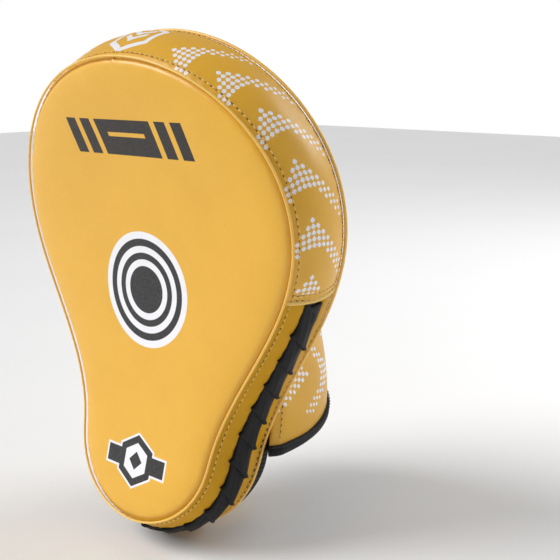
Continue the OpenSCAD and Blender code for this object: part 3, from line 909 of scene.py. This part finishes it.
def lay(x, z, lift=0.1):
    """Points x, z laid on the hand panel, with their outward normals."""
    x, z = np.asarray(x, float), np.asarray(z, float)
    flat = top.reshape(-1, 3)
    keep = flat[:, 1] > 3.0
    f, m = flat[keep], n.reshape(-1, 3)[keep]
    out, ups = [], []
    for a, b in zip(x.ravel(), z.ravel()):
        d2 = (f[:, 0] - a) ** 2 + (f[:, 2] - b) ** 2
        k = np.argpartition(d2, 6)[:6]
        w8 = 1 / (d2[k] + 0.05)
        nn = (m[k] * w8[:, None]).sum(0)
        nn /= np.linalg.norm(nn)
        q = (f[k] * w8[:, None]).sum(0) / w8.sum()
        y = q[1] - ((a - q[0]) * nn[0] + (b - q[2]) * nn[2]) / max(nn[1], 0.25)
        out.append([a, y, b] + nn * lift)
        ups.append(nn)
    return np.array(out).reshape(x.shape + (3,)), np.array(ups).reshape(x.shape + (3,))


for r in (5.2, 7.8):
    a = np.linspace(0, np.pi, 12)
    x = np.concatenate([r * np.cos(a), [-r] * 14, r * np.cos(a + np.pi), [r] * 14])
    z = np.concatenate([37 + r * np.sin(a), np.linspace(36, 1, 14),
                        r * np.sin(a + np.pi), np.linspace(1, 36, 14)])
    p, m = lay(x, z, 0.12)
    back_rows += stitch_parts(np.concatenate([p, p[:1]]), np.concatenate([m, m[:1]]), r=0.3, **FINE)
for k in (1.6, 4.4):
    p, m = grid_line(top, n, row=k)
    back_rows += stitch_parts(p[12:-8], m[12:-8], r=0.3, **FINE)
for k in (57.4, 55.0):
    p, m = grid_line(top, n, row=k)
    back_rows += stitch_parts(p[9:-6], m[9:-6], pitch=3.2, length=2.3, r=0.34)
for frac in (0.025, 0.05):
    p, m = grid_line(top, n, col=frac * (top.shape[1] - 1))
    back_rows += stitch_parts(p, m, pitch=3.2, length=2.3, r=0.32)

# the stitched patch beside the slot
PATCH_X, PATCH_Z, PATCH_LEAN, PATCH_SEAM = (21, 37), (37, -7), 0.05, 2.0
gx, gz = np.meshgrid(np.linspace(*PATCH_X, 17), np.linspace(*PATCH_Z, 34), indexing="ij")
p, m = lay(gx + (PATCH_Z[0] - gz) * PATCH_LEAN, gz, 0.0)
lift = np.where(edge_steps(*gx.shape)[0] == 0, 0.5, 1.15)[..., None]
patch = slab("hand_patch_cover", p + m * lift, p + m * 0.1, cloth_fab(gx, gz), M_SLEEVE)
own(patch, ["hand_patch"])
x0, x1 = PATCH_X[0] + PATCH_SEAM, PATCH_X[1] - PATCH_SEAM
z0, z1 = PATCH_Z[0] - PATCH_SEAM, PATCH_Z[1] + PATCH_SEAM
loop = [(x0, z0), (x0, z1), (x1, z1), (x1, z0), (x0, z0)]
path = np.concatenate([np.linspace(loop[i], loop[i + 1], 18) for i in range(4)])
p, m = lay(path[:, 0] + (PATCH_Z[0] - path[:, 1]) * PATCH_LEAN, path[:, 1], 1.2)
back_rows += stitch_parts(p, m, r=0.3, **FINE)

# the folded seam between the slot and the patch, with a small open slit near its lower end
fold_x = [13.0, 15.8, 18.0, 19.0, 18.6, 17.4, 15.6]
fold_z = [54.0, 44.0, 33.0, 22.0, 12.0, 3.0, -6.0]
fz = np.linspace(54, -6, 60)
fx = np.interp(-fz, -np.array(fold_z), fold_x)
p, m = lay(fx, fz, 0.25)
ridge = tube_parts(p, m, 0.55, 1.0, k=8)
own(join_parts("panel_fold", [ridge], M_SLEEVE))
for shift in (-2.4, 2.6):
    p, m = lay(fx + shift, fz, 0.12)
    back_rows += stitch_parts(p[:-4], m[:-4], r=0.3, **FINE)
p, m = lay(fx[36:52] + 1.2, fz[36:52], 0.15)
slit = 0.15 + 0.95 * np.sin(np.linspace(0, np.pi, 16))
own(join_parts("fold_slit", [tube_parts(p, m, 0.35, slit, k=8)], M_BLACK))
raw_edges(top, n, ((0.35, 0.45), (0.35, 0.5), 0.45))
own(join_parts("raw_core_edges", raw_white, M_CORE))
own(join_parts("raw_cloth_edges", raw_navy, M_NAVY))

# black mesh behind the slot, and the palm lining
gx, gz = np.meshgrid(np.linspace(-8, 8, 17), np.linspace(43, -6, 40), indexing="ij")
p, m = lay(gx, gz, 0.0)
own(slab("slot_mesh", p - m * 2.7, p - m * 3.4, cloth_fab(gx, gz), M_MESH), ["vent_mesh"])
gx, gz = np.meshgrid(np.linspace(-42, 42, 30), np.linspace(53, -60, 40), indexing="ij")
soft = 0.3 * waves(cloth_fab(gx, gz), 30, 6)
palm = slab("palm_cloth", on_back(gx, gz, 1.3 + soft), on_back(gx, gz, 0.1), cloth_fab(gx, gz), M_BLACK)
own(palm, ["palm_lining"])

# small tab under the thumb
gx, gz = np.meshgrid(np.linspace(53, 60, 10), np.linspace(-1, -17, 16), indexing="ij")
tab = slab("thumb_tab_cover", on_back(gx, gz, 2.0), on_back(gx, gz, 0.3), cloth_fab(gx, gz), M_SLEEVE)
own(tab, ["thumb_tab"])

sewn("back_stitches", back_rows)

# ---- the cuff ----
CW, CH, CZ = 58.0, 74.0, -68.0  # half width, height and lowest row of the open end
CUFF_ROWS, FOOT_H, FOOT_IN = 44, 8.0, 5.0
cuff_pts, cuff_fab = arch_grid(-11.3, CZ + 2.5, CUFF_ROWS, 151, (0, 0), (HW + 0.3, CW),
                               (H_CUFF + 0.3, CH), (0, 0), drop=(9, 18), a0=0.12)
over_back = cuff_pts[..., 1] - on_back(cuff_pts[..., 0], cuff_pts[..., 2], 0)[..., 1]
foot = np.clip((FOOT_H - over_back) / FOOT_H, 0, 1) ** 2
cuff_pts[..., 0] -= np.sign(cuff_pts[..., 0]) * foot * np.linspace(0.5, FOOT_IN, CUFF_ROWS)[:, None]
cuff_n = normals_of(cuff_pts)
f = np.linspace(0, 1, CUFF_ROWS)[:, None]
puff = 1.3 * np.sin(np.pi * f) ** 0.5 + 0.35 * waves(cuff_pts, 46, 21)
outer = cuff_pts + cuff_n * puff[..., None]
thick = (2.2 + 4.6 * smooth(f, 0.0, 0.18))[..., None]
inner = cuff_pts - cuff_n * (thick - 1.0)
cuff = slab("cuff_cover_puffed", outer, inner, cuff_fab, M_CUFF)
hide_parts("cuff_cover", "cuff_foam")
lining = slab("cuff_inner_cloth", inner - cuff_n * 0.02, inner - cuff_n * 1.0, cuff_fab, M_BLACK)
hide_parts("cuff_lining")

# the binding wraps the lower edge
low, low_n = cuff_pts[-1], cuff_n[-1]
mid = low - low_n * 2.4
down = cuff_pts[-1] - cuff_pts[-2]
down /= np.linalg.norm(down, axis=1)[:, None]
BIND_SIDES = 20
v, faces = tube_parts(mid + down * 0.9, low_n, 4.3, 3.3, k=BIND_SIDES, power=0.72)
around = np.repeat(cuff_fab[-1][:, :1], BIND_SIDES, 1).ravel()
binding = make("cuff_binding_tape", v, faces, cloth_fab(around, v[:, 2]), M_BIND)
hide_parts("cuff_binding")
top_line = low - down * 1.1 + low_n * 2.0
binding_rows = stitch_parts(top_line, low_n, r=0.3, **FINE)
cuff_sewing = sewn("cuff_binding_stitches", binding_rows, None, M_DARK_THREAD)
side_rows = []
for i in (2, 147):
    away = cuff_n[3:-4, i]
    side_rows += stitch_parts(outer[3:-4, i] + away * 0.1, away, pitch=3.2, length=2.3, r=0.32)
for r in (1.2, 3.6):
    p, m = grid_line(outer, cuff_n, row=r)
    side_rows += stitch_parts(p[2:-2], m[2:-2], pitch=3.2, length=2.3, r=0.34)
cuff_sewing += sewn("cuff_seam_stitches", side_rows, None)
for ob in (cuff, lining, binding, *cuff_sewing):
    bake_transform(ob)

# elastic pieces from the cuff's foot to the pad
for side, name in ((1, "elastic_thumb_side"), (-1, "elastic_little_side")):
    z = np.linspace(-62, -86, 25)
    g = np.linspace(0, 1, 12)
    zz, gg = np.meshgrid(z, g, indexing="ij")
    at_pad = half(zz / 1.11) - 1.6
    x = at_pad * (1 - gg) + (CW - 3.2) * gg - 0.6 * np.sin(np.pi * gg)
    h = 0.9 + 7.6 * gg
    out = on_back(side * x, zz, h)
    inn = on_back(side * (x - 1.1), zz, h)
    ob = slab(name + "_web", out, inn, cloth_fab(gg * 20, zz), M_ELASTIC)
    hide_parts(name)
    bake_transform(ob)

# ---- the bolster ----
B0, B1 = -64.0, -HL + 4


def bolster_half(v):
    return half(v) - 3.2


def bolster_rise(v):
    f = (B0 - v) / (B0 - B1)
    return 5 + 14 * np.sin(np.pi * np.minimum(1, 0.06 + f * 0.94)) ** 0.6


def bolster_z(s, v):
    return bolster_rise(v) * np.maximum(0, 1 - np.abs(s) ** 6) ** 0.5 + 3


def panel_edge(v):
    return np.minimum(0.86, (21 + 0.012 * (v + 101) ** 2) / bolster_half(v))


def bolster(name, a, b, n, mat, nodes, puff):
    """One panel of the bolster from side share a to b, both functions of the row."""
    v = np.linspace(B0, B1, 60)
    t = np.linspace(0, 1, n)
    vv, tt = np.meshgrid(v, t, indexing="ij")
    s = a(vv) + (b(vv) - a(vv)) * tt
    ends = np.minimum(1, np.minimum((B0 - vv), (vv - B1)) / 3.0).clip(0)
    edge = np.minimum(1, np.minimum(tt, 1 - tt) * (n / 5.0))
    soft = 0.3 * waves(np.stack([s * 40, vv, s], -1), 26, n)
    h = bolster_z(s, vv) * (0.35 + 0.65 * np.sqrt(ends)) + puff * edge ** 0.5 + soft
    x = s * bolster_half(vv)
    out = bend(x, vv, T + h)
    inn = bend(x * 0.985, vv, T + np.maximum(h - 1.5, 0.3))
    ob = slab(name, out, inn, np.stack([x, vv, s], -1), mat)
    own(ob, nodes)
    return out


def seam_edge(v):
    return panel_edge(v) + 0.012


mid_out = bolster("bolster_pad", lambda v: -panel_edge(v), panel_edge, 51, M_BACK,
                  ["bolster_cover", "bolster_foam"], 1.4)
bolster("bolster_rib_thumb_side", seam_edge, np.ones_like, 24, M_MESH,
        ["bolster_mesh_thumb_side"], 0.4)
bolster("bolster_rib_little_side", lambda v: -np.ones_like(v), lambda v: -seam_edge(v), 24, M_MESH,
        ["bolster_mesh_little_side"], 0.4)
bn = normals_of(mid_out)
brows, edges = [], []
for k in (3, 7, 43, 47):
    brows += stitch_parts(mid_out[2:-2, k] + bn[2:-2, k] * 0.12, bn[2:-2, k], r=0.32, **FINE)
sewn("bolster_stitches", brows)
for k in (0, 50):
    edges.append(tube_parts(mid_out[:, k] + bn[:, k] * 0.35, bn[:, k], 0.55, 0.55, k=8))
own(join_parts("bolster_raw_edges", edges, M_CORE))


# ---- the care label ----
# the sewn edge runs from LABEL_A to LABEL_B, and the cloth reaches LABEL_OUT from it
LABEL_A, LABEL_B = np.array([84, 1.4, -4.0]), np.array([69.8, 0.3, -31.0])
LABEL_OUT = np.array([-14.2, 0.2, 7.5])
f, g = np.meshgrid(np.linspace(0, 1, 30), np.linspace(0, 1, 18), indexing="ij")
p = LABEL_A + (LABEL_B - LABEL_A) * f[..., None] + LABEL_OUT * g[..., None]
p[..., 1] += 0.25 + 2.4 * g ** 2 * (0.4 + 0.6 * f) + 0.35 * np.sin(f * 9) * g
up = np.array([0, 1.0, 0])
fab = cloth_fab(g * 16, f * 30.5)
label = slab("label_cloth", p + up * 0.16, p - up * 0.16, fab, M_LABEL)
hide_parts("care_label")
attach(label, "label")

# ---- stage, light and camera ----
floor_mat, ft, fb = new_material("pale_floor", 0.7, 0.2)
n = object_noise(ft, 4, 2)
ft.links.new(mix_colour(ft, n, (0.86, 0.86, 0.86), (0.9, 0.9, 0.9)), fb.inputs["Base Color"])
bpy.ops.mesh.primitive_plane_add(size=6, location=(0, 0, -0.1385))
floor = bpy.context.object
floor.name = "floor"
floor.data.materials.append(floor_mat)

world = bpy.data.worlds.new("studio")
world.use_nodes = True
wt = world.node_tree
ray = wt.nodes.new("ShaderNodeTexCoord")
split = wt.nodes.new("ShaderNodeSeparateXYZ")
wt.links.new(ray.outputs["Generated"], split.inputs[0])
height = E(wt, split.outputs["Z"])
aside = E(wt, split.outputs["Y"]) * 0.65 - E(wt, split.outputs["X"]) * 0.6
open_side = (aside + 0.75).max(0.32).min(1.0)
glow = open_side * ((height - 0.02).abs() * -6.0 + 1.6).max(0.0).min(1.0) * 0.76 + 0.24
wt.links.new(glow.out, wt.nodes["Background"].inputs[1])
wt.nodes["Background"].inputs[0].default_value = (1, 1, 1, 1)
bpy.context.scene.world = world
bpy.context.scene.view_settings.view_transform = "Standard"


def lamp(name, kind, at_, to, power, size):
    d = bpy.data.lights.new(name, kind)
    d.energy = power
    if kind == "SUN":
        d.angle = math.radians(size)
    else:
        d.size = size
    o = bpy.data.objects.new(name, d)
    o.location = at_
    o.rotation_mode = "QUATERNION"
    o.rotation_quaternion = (Vector(to) - Vector(at_)).to_track_quat("-Z", "Y")
    bpy.context.scene.collection.objects.link(o)


lamp("key", "SUN", (-0.62, -0.72, 0.72), (0, 0, 0), 2.75, 35)
lamp("back", "AREA", (0.5, 1.0, 0.8), (0, 0, 0), 9, 0.8)

cam_data = bpy.data.cameras.new("camera")
cam_data.sensor_width = 36
cam_data.lens = 62.63
cam = bpy.data.objects.new("camera", cam_data)
bpy.context.scene.collection.objects.link(cam)
cam.location = (0.3835, -0.3680, 0.1161)
az, el, roll = (math.radians(x) for x in (41.7, 12.38, -0.1))
back = Vector((math.sin(az) * math.cos(el), -math.cos(az) * math.cos(el), math.sin(el)))
cam.rotation_mode = "QUATERNION"
cam.rotation_quaternion = (-back).to_track_quat("-Z", "Y") @ Matrix.Rotation(roll, 4, "Z").to_quaternion()
cam_data.clip_start = 0.01
bpy.context.scene.camera = cam
